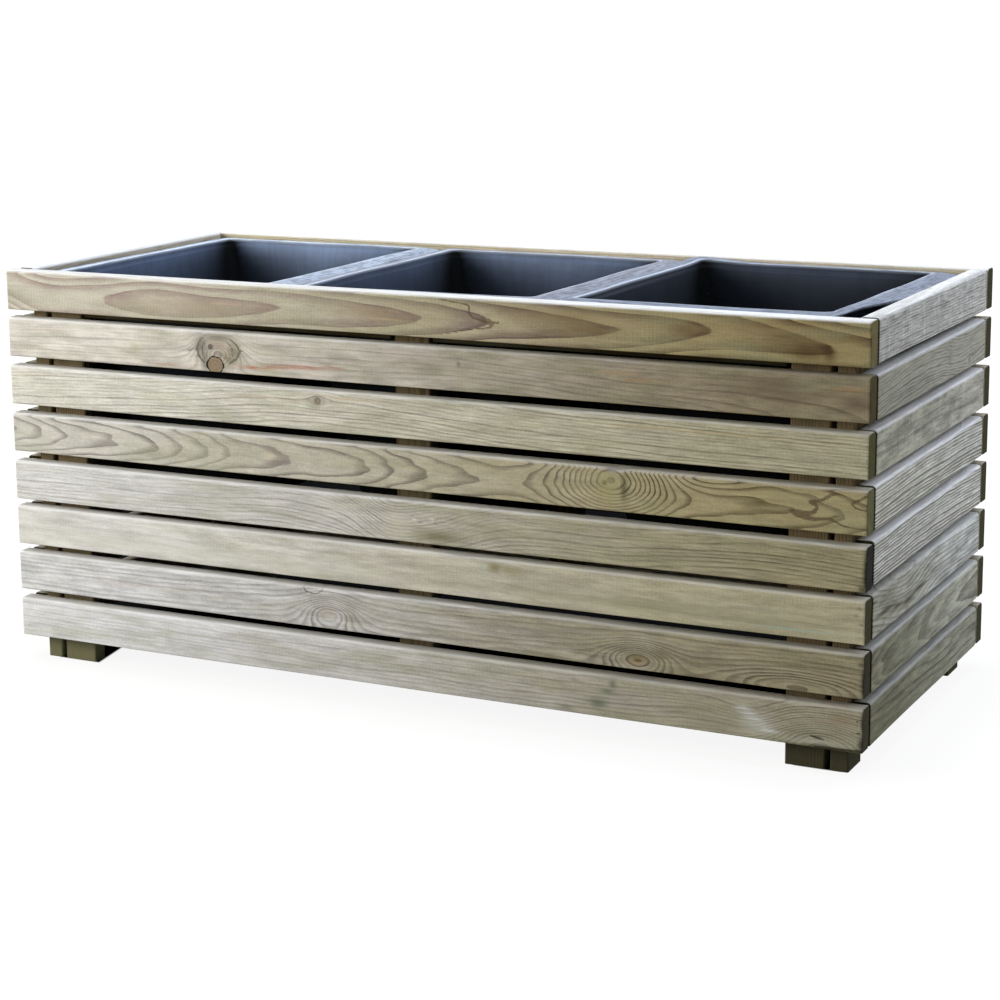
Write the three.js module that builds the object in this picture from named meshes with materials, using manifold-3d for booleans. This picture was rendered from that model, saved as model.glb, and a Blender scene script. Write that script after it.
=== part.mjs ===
// A slatted wooden planter with three lift-out plastic liners.
// Millimetres, +Z up. X runs along the length and the front faces -Y.
// The origin is on the ground, at the centre of the footprint.

import * as THREE from 'three';
import { mergeVertices } from 'three/addons/utils/BufferGeometryUtils.js';
import Module from 'manifold-3d';

const wasm = await Module();
wasm.setup();

// Overall box
const length = 1000;
const depth = 435;

// Slats: planed boards, laid flat against the battens
const slatHeight = 44.5;
const slatThickness = 20;
const slatEdgeRadius = 4;
const slatCount = 8;
const slatGap = 9.4;
const endSlatInset = 4.5; // from each end of an end slat to the long slat's back
const frontSlatShifts = [0, 1, 0.4, -0.1, -1.4, 0.3, 0.6, 0]; // as nailed, from the top

// Battens: upright at the corners and in the middle, their lower ends are the feet
const battenWidth = 41;
const battenThickness = 19;
const battenEdgeRadius = 2;
const footHeight = 28.2;
const cornerGap = 5.5; // between the two battens of a corner
const middleBattenShift = 2.5;
const middleBattenLift = 6; // above the lower edge of the bottom slat

// Ledges: battens on edge behind the top slat, which carry the liner rims
const ledgeEndGap = 4.5;

// Corner screws, through the long side's batten into the end panel's batten
const screwRadius = 2.5;
const screwHeadRadius = 5;
const screwHeadHeight = 3.2;
const screwTipLength = 6;
const screwSink = 0.5;
const screwCover = 5.5; // wood left beyond the tip
const screwClearance = 0.3;
const upperScrewDrop = 38; // below the ledge
const lowerScrewRise = 62; // above the foot
const screwSides = 16;

// Liners: tapered tubs with a wide rim that arches down to a lip
const linerCount = 3;
const linerGap = 1.5; // between two rims, and to the left slats
const linerRowSlack = 12; // left over at the right end of the row
const linerEndGap = 1; // from the rim to the long slats
const linerGroundGap = 195.5;
const linerWall = 2;
const tubClearance = 2.5; // from the tub to the ledge
const rimBelowTop = 4.5;
const rimArch = 3;
const rimRounding = 0.8;
const rimLip = 1.2;
const rimSeatClearance = 0.3;
const mouthRounding = 2.5;
const collarDepth = 6.5;
const collarStep = 1.2;
const draftAngle = 8; // degrees
const rimCornerRadius = 15;
const mouthCornerRadius = 18;
const wallCornerRadius = 55; // at the foot of the tapered wall
const floorRounding = 12;

// Derived sizes
const slatPitch = slatHeight + slatGap;
const stackHeight = slatCount * slatHeight + (slatCount - 1) * slatGap;
const height = stackHeight + footHeight;
const slatBack = depth / 2 - slatThickness;
const endSlatBack = length / 2 - slatThickness;
const cornerInner = endSlatBack - battenThickness - cornerGap - battenWidth;
const battenLine = slatBack - battenThickness / 2;
const rimTop = height - rimBelowTop;
const rimFoot = -rimArch - linerWall - rimLip; // below the rim's top
const ledgeTop = rimTop + rimFoot - rimSeatClearance;
const screwLength = battenWidth + cornerGap + battenThickness - screwCover - screwSink;

const color = {
  longBoards: 0xc4bb9e,
  endBoards: 0xb3b1a3,
  battens: 0xa79d80,
  liner: 0x2e333d,
  screw: 0x8f9295,
};

const planter = new THREE.Group();

function addMesh(name, geometry, materialColor, roughness, metalness, position) {
  const material = new THREE.MeshStandardMaterial({ color: materialColor, roughness, metalness });
  const mesh = new THREE.Mesh(geometry, material);
  mesh.name = name;
  mesh.position.copy(position);
  planter.add(mesh);
  return mesh;
}

// Outline of a rectangle with rounded corners, centred on the origin
function roundedOutline(width, breadth, radius) {
  const x = width / 2;
  const y = breadth / 2;
  const shape = new THREE.Shape();
  shape.moveTo(-x + radius, -y);
  shape.lineTo(x - radius, -y);
  shape.absarc(x - radius, -y + radius, radius, -Math.PI / 2, 0, false);
  shape.lineTo(x, y - radius);
  shape.absarc(x - radius, y - radius, radius, 0, Math.PI / 2, false);
  shape.lineTo(-x + radius, y);
  shape.absarc(-x + radius, y - radius, radius, Math.PI / 2, Math.PI, false);
  shape.lineTo(-x, -y + radius);
  shape.absarc(-x + radius, -y + radius, radius, Math.PI, 1.5 * Math.PI, false);
  return shape;
}

// A planed bar centred on the origin, with its long edges eased
function bar(along, size, radius) {
  const axes = [
    new THREE.Vector3(1, 0, 0),
    new THREE.Vector3(0, 1, 0),
    new THREE.Vector3(0, 0, 1),
  ];
  const run = 'xyz'.indexOf(along);
  const across = (run + 1) % 3;
  const up = (run + 2) % 3;
  const sizes = size.toArray();
  const geometry = new THREE.ExtrudeGeometry(roundedOutline(sizes[across], sizes[up], radius), {
    depth: sizes[run],
    bevelEnabled: false,
    curveSegments: 3,
  });
  geometry.translate(0, 0, -sizes[run] / 2);
  geometry.applyMatrix4(new THREE.Matrix4().makeBasis(axes[across], axes[up], axes[run]));
  return geometry;
}

// Closed triangle mesh to a solid that can be cut, and back
function toSolid(geometry) {
  const shell = geometry.clone();
  shell.deleteAttribute('normal');
  shell.deleteAttribute('uv');
  const merged = mergeVertices(shell, 1e-4);
  const corners = Array.from(merged.index.array);
  const triVerts = [];
  for (let i = 0; i < corners.length; i += 3) {
    const [a, b, c] = corners.slice(i, i + 3);
    if (a !== b && b !== c && c !== a) triVerts.push(a, b, c);
  }
  return new wasm.Manifold(
    new wasm.Mesh({
      numProp: 3,
      vertProperties: merged.attributes.position.array,
      triVerts: Uint32Array.from(triVerts),
    })
  );
}

function toGeometry(solid) {
  const mesh = solid.getMesh();
  const geometry = new THREE.BufferGeometry();
  geometry.setAttribute('position', new THREE.BufferAttribute(mesh.vertProperties, 3));
  geometry.setIndex(new THREE.BufferAttribute(mesh.triVerts, 1));
  geometry.computeVertexNormals();
  return geometry;
}

// Slats of the two long sides run the full length, and the end slats sit between them
const longSlat = new THREE.Vector3(length, slatThickness, slatHeight);
const endSlat = new THREE.Vector3(slatThickness, 2 * (slatBack - endSlatInset), slatHeight);
for (let i = 0; i < slatCount; i++) {
  const x = endSlatBack + slatThickness / 2;
  const y = slatBack + slatThickness / 2;
  const z = height - slatHeight / 2 - i * slatPitch;
  const frontZ = z + frontSlatShifts[i % frontSlatShifts.length];
  const long = () => bar('x', longSlat, slatEdgeRadius);
  const short = () => bar('y', endSlat, slatEdgeRadius);
  addMesh(`front_slat_${i + 1}`, long(), color.longBoards, 0.75, 0, new THREE.Vector3(0, -y, frontZ));
  addMesh(`rear_slat_${i + 1}`, long(), color.longBoards, 0.75, 0, new THREE.Vector3(0, y, z));
  addMesh(`left_slat_${i + 1}`, short(), color.endBoards, 0.8, 0, new THREE.Vector3(-x, 0, z));
  addMesh(`right_slat_${i + 1}`, short(), color.endBoards, 0.8, 0, new THREE.Vector3(x, 0, z));
}

// Countersunk screw along -X from its head, or the hole for it, which is a clearance larger
function screwForm(clearance) {
  const shank = screwRadius + clearance;
  const profile = [
    new THREE.Vector2(0, -screwLength - clearance),
    new THREE.Vector2(shank, -screwLength + screwTipLength),
    new THREE.Vector2(shank, -screwHeadHeight),
    new THREE.Vector2(screwHeadRadius + clearance, 0),
  ];
  // A hole runs on past the face of the wood
  const mouth = clearance > 0 ? screwSink + 1 : 0;
  if (mouth > 0) profile.push(new THREE.Vector2(screwHeadRadius + clearance, mouth));
  profile.push(new THREE.Vector2(0, mouth));
  const geometry = new THREE.LatheGeometry(profile, screwSides);
  geometry.rotateZ(-Math.PI / 2);
  return toSolid(geometry);
}

// Corner battens: the long side's batten is screwed to the end panel's batten
const longBatten = new THREE.Vector3(battenWidth, battenThickness, ledgeTop);
const endBatten = new THREE.Vector3(battenThickness, battenWidth, ledgeTop);
const screwLevels = {
  lower: footHeight + lowerScrewRise,
  upper: ledgeTop - battenWidth - upperScrewDrop,
};
for (const [sideName, sideY] of [['front', -1], ['rear', 1]]) {
  for (const [endName, endX] of [['left', -1], ['right', 1]]) {
    const longX = endX * (cornerInner + battenWidth / 2);
    const endPanelX = endX * (endSlatBack - battenThickness / 2);
    const endPanelY = sideY * (slatBack - battenWidth / 2);
    const longPlace = new THREE.Vector3(longX, sideY * battenLine, ledgeTop / 2);
    const endPlace = new THREE.Vector3(endPanelX, endPanelY, ledgeTop / 2);
    let longSolid = toSolid(bar('z', longBatten, battenEdgeRadius));
    let endSolid = toSolid(bar('z', endBatten, battenEdgeRadius));
    for (const [level, z] of Object.entries(screwLevels)) {
      const place = new THREE.Vector3(endX * (cornerInner + screwSink), sideY * battenLine, z);
      // The form points along -X, so the screws of the right end are turned round
      const turn = [0, 0, endX > 0 ? 180 : 0];
      const hole = screwForm(screwClearance).rotate(turn);
      const holeSeenFrom = (target) => hole.translate(place.clone().sub(target).toArray());
      longSolid = longSolid.subtract(holeSeenFrom(longPlace));
      endSolid = endSolid.subtract(holeSeenFrom(endPlace));
      const screw = toGeometry(screwForm(0).rotate(turn));
      addMesh(`screw_${sideName}_${endName}_${level}`, screw, color.screw, 0.35, 1, place);
    }
    addMesh(`${sideName}_batten_${endName}`, toGeometry(longSolid), color.battens, 0.8, 0, longPlace);
    addMesh(`${endName}_batten_${sideName}`, toGeometry(endSolid), color.battens, 0.8, 0, endPlace);
  }
}

// Middle battens stop short of the ground, and the ledges run between the uprights
const middleFoot = footHeight + middleBattenLift;
const middleBatten = new THREE.Vector3(battenWidth, battenThickness, ledgeTop - middleFoot);
for (const [sideName, sideY] of [['front', -1], ['rear', 1]]) {
  const y = sideY * battenLine;
  const middlePlace = new THREE.Vector3(middleBattenShift, y, (ledgeTop + middleFoot) / 2);
  const middleBar = bar('z', middleBatten, battenEdgeRadius);
  addMesh(`${sideName}_batten_middle`, middleBar, color.battens, 0.8, 0, middlePlace);
  for (const [endName, endX] of [['left', -1], ['right', 1]]) {
    const outer = cornerInner - ledgeEndGap;
    const inner = battenWidth / 2 + endX * middleBattenShift + ledgeEndGap;
    const ledge = new THREE.Vector3(outer - inner, battenThickness, battenWidth);
    const place = new THREE.Vector3(endX * (outer + inner) / 2, y, ledgeTop - battenWidth / 2);
    addMesh(`${sideName}_ledge_${endName}`, bar('x', ledge, battenEdgeRadius), color.battens, 0.8, 0, place);
  }
}

// Liners. A tub is skinned over closed rings, each a rounded rectangle at one height,
// whose sides lie a distance outside the mouth, or inside it where that is negative.
const rimWidth = battenThickness + tubClearance + linerWall - linerEndGap;
const rowRoom = 2 * endSlatBack - linerRowSlack - linerCount * linerGap;
const linerWidth = rowRoom / linerCount;
const linerLength = 2 * (slatBack - linerEndGap);
const cornerSteps = 5;

function ring(outset, z, radius) {
  const x = linerWidth / 2 - rimWidth + outset - radius;
  const y = linerLength / 2 - rimWidth + outset - radius;
  const points = [];
  for (const [signX, signY, start] of [[1, 1, 0], [-1, 1, 0.5], [-1, -1, 1], [1, -1, 1.5]]) {
    for (let i = 0; i <= cornerSteps; i++) {
      const angle = Math.PI * (start + (0.5 * i) / cornerSteps);
      points.push([signX * x + radius * Math.cos(angle), signY * y + radius * Math.sin(angle), z]);
    }
  }
  return points;
}

function linerGeometry() {
  const floorTop = linerGroundGap + linerWall - rimTop;
  const wallFoot = floorTop + floorRounding;
  const collarFoot = -mouthRounding - collarDepth;
  const wallTop = collarFoot - collarStep;
  const lean = Math.tan(THREE.MathUtils.degToRad(draftAngle));
  const taper = collarStep + lean * (wallTop - wallFoot);
  const bend = 1 - Math.SQRT1_2;
  const floorSet = taper + floorRounding;
  const floorBend = floorRounding * bend;
  const w = linerWall;
  const rimMiddle = (rimCornerRadius + mouthCornerRadius) / 2;
  const inside = [
    ring(rimWidth, rimFoot, rimCornerRadius),
    ring(rimWidth, -rimArch - rimRounding, rimCornerRadius),
    ring(rimWidth - rimRounding, -rimArch, rimCornerRadius),
    ring(rimWidth / 2, -rimArch * 0.3, rimMiddle),
    ring(mouthRounding, 0, mouthCornerRadius),
    ring(mouthRounding * bend, -mouthRounding * bend, mouthCornerRadius),
    ring(0, -mouthRounding, mouthCornerRadius),
    ring(0, collarFoot, mouthCornerRadius),
    ring(-collarStep, wallTop, mouthCornerRadius),
    ring(-taper, wallFoot, wallCornerRadius),
    ring(-taper - floorBend, floorTop + floorBend, wallCornerRadius - floorBend),
    ring(-floorSet, floorTop, wallCornerRadius - floorRounding),
  ];
  const outside = [
    ring(-floorSet, floorTop - w, wallCornerRadius - floorRounding),
    ring(w - taper - floorBend, floorTop + floorBend - w, wallCornerRadius - floorBend + w),
    ring(w - taper, wallFoot, wallCornerRadius + w),
    ring(w - collarStep, wallTop - w * lean, mouthCornerRadius + w),
    ring(w, collarFoot, mouthCornerRadius + w),
    ring(w, -mouthRounding - w, mouthCornerRadius + w),
    ring(w + mouthRounding * bend, -w - mouthRounding * bend, mouthCornerRadius + w),
    ring(rimWidth / 2, -w - rimArch * 0.3, rimMiddle),
    ring(rimWidth - w, -w - rimArch, rimCornerRadius - w),
    ring(rimWidth - w, rimFoot, rimCornerRadius - w),
  ];
  const rings = [...inside, ...outside];
  const count = rings[0].length;
  const positions = rings.flat(2);
  const index = [];
  for (let k = 0; k < rings.length; k++) {
    // The two floors are filled below instead of being skinned to each other
    if (k === inside.length - 1) continue;
    const next = (k + 1) % rings.length;
    for (let i = 0; i < count; i++) {
      const j = (i + 1) % count;
      const [a, b, c, d] = [k * count + i, k * count + j, next * count + i, next * count + j];
      index.push(a, b, d, a, d, c);
    }
  }
  const topRing = (inside.length - 1) * count;
  const bottomRing = inside.length * count;
  const topCentre = positions.length / 3;
  positions.push(0, 0, floorTop, 0, 0, floorTop - w);
  for (let i = 0; i < count; i++) {
    const j = (i + 1) % count;
    index.push(topRing + i, topRing + j, topCentre);
    index.push(bottomRing + j, bottomRing + i, topCentre + 1);
  }
  const geometry = new THREE.BufferGeometry();
  geometry.setAttribute('position', new THREE.Float32BufferAttribute(positions, 3));
  geometry.setIndex(index);
  geometry.computeVertexNormals();
  return geometry;
}

const linerNames = ['left', 'middle', 'right'];
for (let i = 0; i < linerCount; i++) {
  const x = -endSlatBack + linerGap + linerWidth / 2 + i * (linerWidth + linerGap);
  const place = new THREE.Vector3(x, 0, rimTop);
  addMesh(`liner_${linerNames[i] ?? i + 1}`, linerGeometry(), color.liner, 0.4, 0, place);
}

export default planter;
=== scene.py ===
# Wooden planter with three lift-out liners: materials, boards, liners, light and camera.
# Metres, +Z up, the front faces -Y. Board and liner values in the dictionaries are millimetres.

import bpy
import numpy as np
from mathutils import Matrix, Vector


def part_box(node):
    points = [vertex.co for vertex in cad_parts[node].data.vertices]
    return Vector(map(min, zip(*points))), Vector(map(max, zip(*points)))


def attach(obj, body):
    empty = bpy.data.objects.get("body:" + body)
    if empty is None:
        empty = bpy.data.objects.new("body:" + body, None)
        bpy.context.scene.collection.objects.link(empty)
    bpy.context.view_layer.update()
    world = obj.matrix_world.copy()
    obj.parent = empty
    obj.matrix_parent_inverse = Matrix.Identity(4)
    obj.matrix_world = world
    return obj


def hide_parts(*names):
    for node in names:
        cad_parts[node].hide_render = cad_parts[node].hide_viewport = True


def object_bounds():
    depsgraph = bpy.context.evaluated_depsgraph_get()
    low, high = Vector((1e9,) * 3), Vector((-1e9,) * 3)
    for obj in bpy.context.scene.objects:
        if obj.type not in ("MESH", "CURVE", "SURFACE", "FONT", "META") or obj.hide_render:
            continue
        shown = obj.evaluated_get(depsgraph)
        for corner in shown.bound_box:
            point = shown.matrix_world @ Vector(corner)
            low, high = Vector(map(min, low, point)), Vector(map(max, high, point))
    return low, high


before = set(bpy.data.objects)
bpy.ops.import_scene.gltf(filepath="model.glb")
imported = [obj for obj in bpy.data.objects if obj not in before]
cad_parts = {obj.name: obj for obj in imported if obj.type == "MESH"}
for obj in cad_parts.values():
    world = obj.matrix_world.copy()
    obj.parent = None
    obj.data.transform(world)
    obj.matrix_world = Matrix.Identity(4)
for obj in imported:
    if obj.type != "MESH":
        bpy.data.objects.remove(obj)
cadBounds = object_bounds()
mm = 0.001
print("frame loaded")


# Small tools

def linear(hexColor, alpha=1.0):
    # sRGB hex to linear: c / 12.92 up to 0.04045, else ((c + 0.055) / 1.055) ^ 2.4
    channels = [int(hexColor[i:i + 2], 16) / 255 for i in (1, 3, 5)]
    return [c / 12.92 if c <= 0.04045 else ((c + 0.055) / 1.055) ** 2.4 for c in channels] + [alpha]


class Signal:
    # What a node gives out. Plus, minus, times and over add math nodes, so that materials read as formulas.
    def __init__(self, socket):
        self.socket = socket
        self.tree = socket.id_data

    __add__ = __radd__ = lambda self, other: calc("ADD", self, other)
    __mul__ = __rmul__ = lambda self, other: calc("MULTIPLY", self, other)
    __sub__ = lambda self, other: calc("SUBTRACT", self, other)
    __rsub__ = lambda self, other: calc("SUBTRACT", other, self)
    __truediv__ = lambda self, other: calc("DIVIDE", self, other)


def connect(node, inputs):
    # Signals are linked, hex colors made linear, and other values set
    for key, value in inputs.items():
        if isinstance(value, Signal):
            node.id_data.links.new(value.socket, node.inputs[key])
        else:
            node.inputs[key].default_value = linear(value) if isinstance(value, str) else value


def addNode(tree, kind, inputs, output=0, **settings):
    node = tree.nodes.new(kind)
    for key, value in settings.items():
        setattr(node, key, value)
    connect(node, inputs)
    return Signal(node.outputs[output]) if len(node.outputs) else None


def calc(operation, *values):
    tree = next(value.tree for value in values if isinstance(value, Signal))
    return addNode(tree, "ShaderNodeMath", dict(enumerate(values)), operation=operation)


def ease(value, low, high, start=0.0, end=1.0):
    # Smooth step from start to end while the value goes from low to high
    step = {"Value": value, "From Min": low, "From Max": high, "To Min": start, "To Max": end}
    return addNode(value.tree, "ShaderNodeMapRange", step, interpolation_type="SMOOTHSTEP")


def vectorMath(operation, vector, inputs, output=0):
    return addNode(vector.tree, "ShaderNodeVectorMath", {0: vector, **inputs}, output, operation=operation)


def millimetres(vector):
    return vectorMath("SCALE", vector, {3: 1 / mm})


def parts(vector):
    first = addNode(vector.tree, "ShaderNodeSeparateXYZ", {0: vector})
    return [Signal(output) for output in first.socket.node.outputs]


def noise(place, sizes, shift=0.0, detail=2.0, roughness=0.5):
    # A cloudy pattern with its size along each axis in millimetres, moved aside by the shift
    moved = {1: [1 / size for size in sizes], 2: [shift, shift * 1.7, shift * 0.6]}
    inputs = {"Vector": vectorMath("MULTIPLY_ADD", place, moved), "Scale": 1.0, "Detail": detail,
              "Roughness": roughness}
    return addNode(place.tree, "ShaderNodeTexNoise", inputs)


def blendColor(factor, first, second, mode="MIX"):
    tree = next(value.tree for value in (factor, first) if isinstance(value, Signal))
    inputs = {0: factor, 6: first, 7: second}
    return addNode(tree, "ShaderNodeMix", inputs, 2, data_type="RGBA", blend_type=mode)


def attribute(tree, label, output="Vector"):
    return addNode(tree, "ShaderNodeAttribute", {}, output, attribute_name=label)


def upwardness(tree):
    # 1 where the surface looks up, -1 where it looks down
    return parts(addNode(tree, "ShaderNodeNewGeometry", {}, "Normal"))[2]


def objectPlace(tree):
    return addNode(tree, "ShaderNodeTexCoord", {}, "Object")


def lightPath(tree, *labels):
    node = tree.nodes.new("ShaderNodeLightPath")
    return [Signal(node.outputs[label]) for label in labels]


def bumped(height, strength, distance):
    inputs = {"Strength": strength, "Distance": distance * mm, "Height": height}
    return addNode(height.tree, "ShaderNodeBump", inputs)


def newMaterial(name):
    material = bpy.data.materials.new(name)
    material.use_nodes = True
    tree = material.node_tree
    return material, tree, tree.nodes["Principled BSDF"]


def link(thing):
    bpy.context.scene.collection.objects.link(thing)


# Materials

pine = {
    # Pattern sizes along, through and across the fibres
    "fibreSize": (34.0, 1.7, 1.7), # bundles of fibres, drawn wide enough to show
    "fineSize": (11.0, 0.9, 0.9), # the finest streaks, drawn about three times as wide as they are
    "raggedSize": (13.0, 1.0, 1.0), # tears in the edges of rings, stains and lines
    "patchSize": (80.0, 15.0, 15.0), # where the salt went in unevenly
    "cloudSize": (44.0, 9.0, 9.0), # lighter and darker wood
    "sawSize": (7.0, 60.0, 60.0), # saw marks, across the board
    "gritSize": (2.2, 1.3, 1.3), # raised fibres
    "knotSize": (3.0, 3.0, 3.0), # unevenness of the knots' outlines
    "ribPitch": 4.2, # between the marks of the planer's knives
    "green": "#8F9478", # tint of the treatment salt
    "undersideShade": "#6E6138", # painted shade on faces that look down
    "knotCore": "#59442F",
    "knotRing": "#17120F",
    "knotHalo": "#5F573F",
    "endRings": "#2F291C",
    "roughness": 0.6,
}
# Dry, open fibres scatter the light, so the wood has next to no gloss
woodGloss = {"IOR": 1.45, "Specular IOR Level": 0.03}


def planedPine(name, look):
    # Pressure-treated pine, planed: pale earlywood, grey-brown latewood, a green-grey cast, low sheen.
    # The growth rings, knots and stains come from the board's own attributes.
    material, tree, shader = newMaterial(name)
    grain = millimetres(attribute(tree, "grain"))
    along = parts(grain)[0]

    def pattern(label, shift, detail=2.0, roughness=0.5):
        return noise(grain, pine[label + "Size"], look["seed"] * 3.7 + shift, detail, roughness)

    fibre = pattern("fibre", 0)
    fine = pattern("fine", 9)
    ragged = pattern("ragged", 5)
    patch = pattern("patch", 2, 3.0)

    # Growth rings: the fraction of the ring count darkens through the latewood and drops at the ring's edge
    count = (ragged - 0.5) * look["ragged"] + attribute(tree, "rings", "Fac")
    ring = calc("FRACT", count)
    whole = {"W": calc("FLOOR", count)}
    strength = addNode(tree, "ShaderNodeTexWhiteNoise", whole, "Value", noise_dimensions="1D")
    strength = strength * look["uneven"] + (1 - look["uneven"])
    share = look["share"]
    edge = 1 - 0.14 * min(1.0, 2.5 * share)
    late = ease(ring, 1 - share, 1 - 0.25 * share) * (1 - look["line"])
    late = late + ease(ring, edge - 0.06, edge + 0.04, 0.0, look["line"])
    late = late * ease(ring, 0.955, 1.0, 1.0, 0.0) * strength * ease(patch, 0.3, 0.6, 1.1, 0.8)
    isCut, smoothStain, clearer = parts(attribute(tree, "cuts"))
    late = late * (clearer + 1.0)
    streaks = fibre * 1.4 + fine * 0.9 - 1.15
    amount = streaks * look["streaks"] + late * look["contrast"]
    amount = addNode(tree, "ShaderNodeClamp", {"Value": amount, "Min": -0.3, "Max": 1.1})

    # The first color fades into the second along the board: partly the wood's own tone, partly painted light
    # and shade, the front boards paler at the left, the end boards paler at the rear
    half = look["half"]
    fade = ease(patch * (0.7 * half) + along - 0.35 * half, -0.9 * half, 0.9 * half)
    color = blendColor(amount, blendColor(fade, *look["early"]), blendColor(fade, *look["late"]))
    color.socket.node.clamp_factor = False
    color = blendColor(ease(patch, 0.42, 0.7, 0.0, look["green"]), color, pine["green"])

    # Clouds, planer marks (a sine along the board, stronger in some places), saw marks and grit
    shade = ease(pattern("cloud", 7, 4.0, 0.62), 0.3, 0.7, 1 - look["cloudy"], 1 + 0.7 * look["cloudy"])
    ribs = calc("SINE", along * (2 * np.pi / pine["ribPitch"])) * ease(patch, 0.35, 0.6, 0.2, 1.0)
    saw = pattern("saw", 11, 3.0, 0.65)
    grit = pattern("grit", 12)
    shade = shade + ribs * (0.04 * look["ribs"]) + (saw - 0.5) * look["sawn"] + (grit - 0.5) * look["grit"]
    color = blendColor(1.0, color, shade, "MULTIPLY")

    # Stains painted by the board's own list, the narrow ones broken up by the fibres
    broken = calc("MAXIMUM", ease(fine * 0.5 + fibre * 0.5, 0.36, 0.58, 0.25, 1.0), smoothStain)
    color = blendColor(attribute(tree, "stain", "Alpha") * broken, color, attribute(tree, "stain", "Color"))

    # Torn lines: dark where the distance over the half width is under 1, ragged along the fibres
    torn = ease((ragged - 0.5) * 1.2 + attribute(tree, "lines", "Fac"), 0.6, 1.2, 1.0, 0.0)
    color = blendColor(torn * ease(grit, 0.3, 0.5, 0.55, 0.85), color, look["lineColor"])

    # Knots: distance over radius, with close rings inside, a bark line at 1 and a dark halo outside
    away, bark, halo = parts(attribute(tree, "knots"))
    wobble = pattern("knot", 4, 3.0)
    distance = (wobble - 0.5) * 0.45 + away
    inner = calc("SINE", distance * 15.0) * 0.13 + wobble
    core = blendColor(inner, attribute(tree, "knotColor", "Color"), pine["knotCore"])
    disc = ease(distance, 0.8, 1.0, 1.0, 0.0) * attribute(tree, "knotColor", "Alpha")
    color = blendColor(disc, color, core)
    color = blendColor(ease(distance, 1.0, 2.4, 0.4, 0.0) * halo, color, pine["knotHalo"])
    barkLine = ease(distance, 0.84, 0.93) * ease(distance, 0.97, 1.08, 1.0, 0.0)
    color = blendColor(barkLine * bark, color, pine["knotRing"])

    # Faces that look up are painted paler, through the streaks: a painted highlight of the light from above
    upward = upwardness(tree)
    first, last = look["bleach"]
    bleach = (fade * (last - first) + first) * ease(streaks, -0.35, 0.35, 1.0, 0.7) * ease(upward, 0.1, 0.85)
    color = blendColor(bleach, color, look["bleached"])
    # Faces that look down are darkened: painted shade
    color = blendColor(ease(upward, -0.8, -0.1, 0.5, 0.0), color, pine["undersideShade"])

    # End grain: darker, with the rings close to the surface
    cut = blendColor(late * 0.5, blendColor(1.0, color, look["end"], "MULTIPLY"), pine["endRings"])
    color = blendColor(isCut, color, cut)
    height = late * look["relief"] + (fine + fibre) * 0.35 + ribs * (0.12 * look["ribs"]) + saw * look["sawn"]
    gloss = late * -0.1 + fine * 0.2 + (pine["roughness"] - 0.1)
    connect(shader, {"Base Color": color, "Roughness": gloss, "Normal": bumped(height, 0.9, 0.4), **woodGloss})
    return material


batten = {
    # early and late wood and the feet's tint of the uprights at the left, in the middle and at the right; they
    # differ by place as painted light and shade
    "left": ("#84755A", "#463B2A", "#66674F"),
    "middle": ("#786A4F", "#40362A", "#3A3B2B"),
    "right": ("#928060", "#4E422E", "#34372A"),
    # The ledges, seen only in the slats' gaps, are painted dark: painted shade
    "ledge": ("#3E3726", "#282218", "#282218"),
    "endGrain": "#241E14",
    "salt": "#5F614C",
    "ringWidth": 3.0,
    "fibreSize": (40.0, 0.9), # pattern sizes along and across
    "patchSize": (120.0, 25.0),
    "slowSize": (400.0, 20.0), # how the rings wander
    "footDarkening": (10.0, 45.0, 0.88), # the feet are darkest up to this height, plain from this one; how much darker
    "roughness": 0.75,
}


def battenPine(name, axis, seed, early, late, footTint):
    # The same treated pine in the battens, straight-grained: bands of growth rings along the bar's axis.
    # Ring count: distance from a line far off to one side, over the ring width, plus a slow noise.
    material, tree, shader = newMaterial(name)
    place = millimetres(objectPlace(tree))

    def sizes(length, width):
        return [length if k == axis else width for k in range(3)]

    section = {1: sizes(0.0, 1.0), 2: (37.0 * seed, 61.0, 23.0)}
    distance = vectorMath("LENGTH", vectorMath("MULTIPLY_ADD", place, section), {}, "Value")
    slow, fibre, patch = (noise(place, sizes(*batten[label + "Size"]), seed + shift)
                          for label, shift in (("slow", 0), ("fibre", 3), ("patch", 6)))
    ring = calc("FRACT", slow * 3.0 + distance * (1 / batten["ringWidth"]))
    latewood = ease(ring, 0.5, 0.9) * ease(ring, 0.94, 1.0, 1.0, 0.0)
    color = blendColor((fibre - 0.5) * 0.9 + latewood * 0.55, early, late)
    color = blendColor(ease(patch, 0.45, 0.7, 0.0, 0.5), color, batten["salt"])
    color = blendColor(ease(upwardness(tree), 0.8, 0.95), color, batten["endGrain"])
    # The feet darken towards the ground, to a tint that is paler at the left upright as painted light
    darkTo, plainFrom, darkAmount = batten["footDarkening"]
    footDarkening = ease(patch * -30.0 + parts(place)[2], darkTo, plainFrom, darkAmount, 0.0)
    color = blendColor(footDarkening, color, footTint)
    bump = bumped(latewood * 0.5 + fibre, 0.7, 0.3)
    connect(shader, {"Base Color": color, "Roughness": batten["roughness"], "Normal": bump, **woodGloss})
    return material


liner = {
    "color": "#0D1113",
    "wallDustAndSkylight": "#7386A5", # dust and rubbed plastic below the mouth, and a painted reflection of the skylight
    "mouthHighlight": "#DCE6F2", # painted highlight on the edge that everything rubs on
    "roughness": 0.42,
    # Pattern sizes round the liner and down its walls
    "streakSize": (5.0, 120.0), # drawn marks
    "cloudSize": (60.0, 45.0),
    "speckSize": (2.2, 1.8),
    "scratchSize": (110.0, 2.2),
    "grimeSize": (16.0, 7.0),
}


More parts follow.
